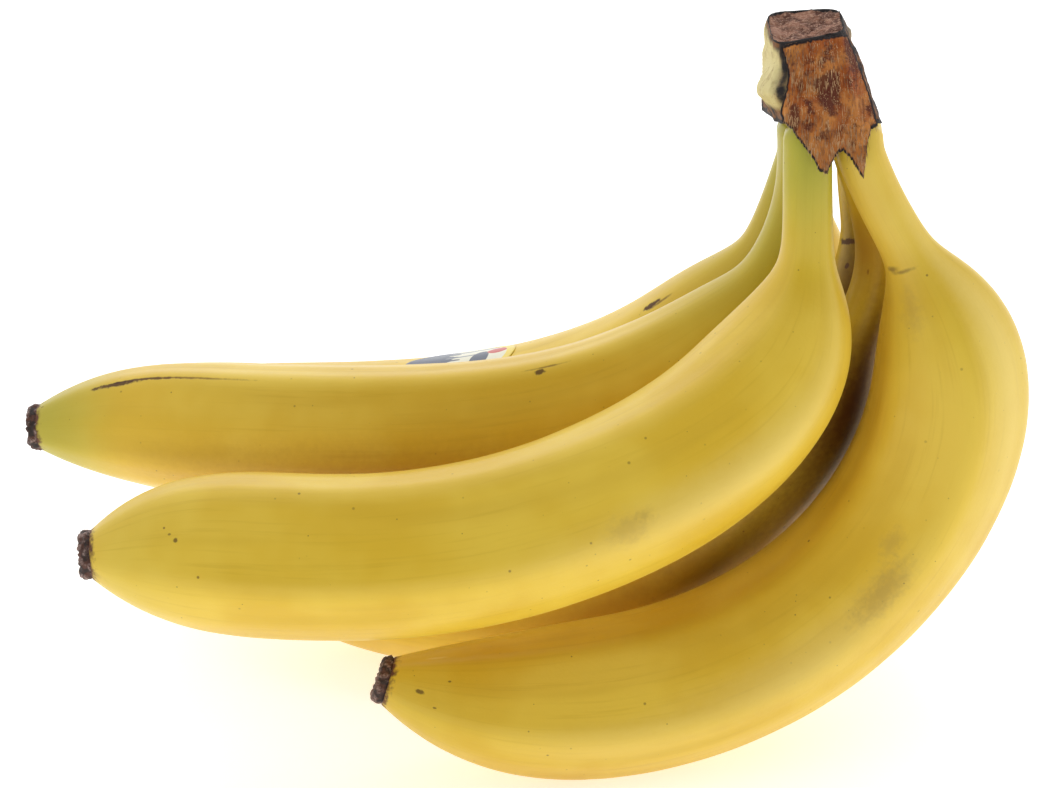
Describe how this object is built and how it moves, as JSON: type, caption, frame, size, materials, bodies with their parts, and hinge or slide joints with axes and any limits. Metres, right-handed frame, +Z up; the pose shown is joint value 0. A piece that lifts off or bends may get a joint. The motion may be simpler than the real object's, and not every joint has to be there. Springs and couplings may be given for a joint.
{
  "type": "bunch of bananas",
  "caption": "Bunch of ripe yellow bananas resting on its outer row, with a brown cut crown standing up and dark dried blossom ends.",
  "frame": {"origin": "centre of the bounding box in plan, on the plane that the bunch rests on", "axes": "+Z up with the crown on top; the blossom ends point to -X, the outer bends of the lower row to +X; the pictured side faces -Y"},
  "size_m": [0.2325, 0.2275, 0.1681],
  "materials": {
    "crown_bark": "dry fibrous brown skin with a rough grey-brown cut face",
    "peel_front_outer": "satin waxy yellow peel with faint streaks and fine brown specks",
    "peel_front_inner": "satin waxy yellow peel with faint streaks and fine brown specks",
    "peel_second_outer": "satin waxy yellow peel with faint streaks and fine brown specks",
    "peel_middle_inner": "satin waxy yellow peel with faint streaks and fine brown specks",
    "peel_third_outer": "satin waxy yellow peel with faint streaks and fine brown specks",
    "peel_back_inner": "satin waxy yellow peel with faint streaks and fine brown specks",
    "peel_back_outer": "satin waxy yellow peel with faint streaks and fine brown specks",
    "dried_tip": "matt crinkled near-black blossom end",
    "label_film": "thin satin printed film, plain pattern with no words"
  },
  "bodies": {
    "root": {"crown": "crown_bark", "banana_front_outer": "peel_front_outer", "banana_front_inner": "peel_front_inner", "banana_second_outer": "peel_second_outer", "banana_middle_inner": "peel_middle_inner", "banana_third_outer": "peel_third_outer", "banana_back_inner": "peel_back_inner", "banana_back_outer": "peel_back_outer", "tip_front_outer": "dried_tip", "tip_front_inner": "dried_tip", "tip_second_outer": "dried_tip", "tip_middle_inner": "dried_tip", "tip_third_outer": "dried_tip", "tip_back_inner": "dried_tip", "tip_back_outer": "dried_tip", "fruit_label": "label_film"}
  },
  "joints": []
}
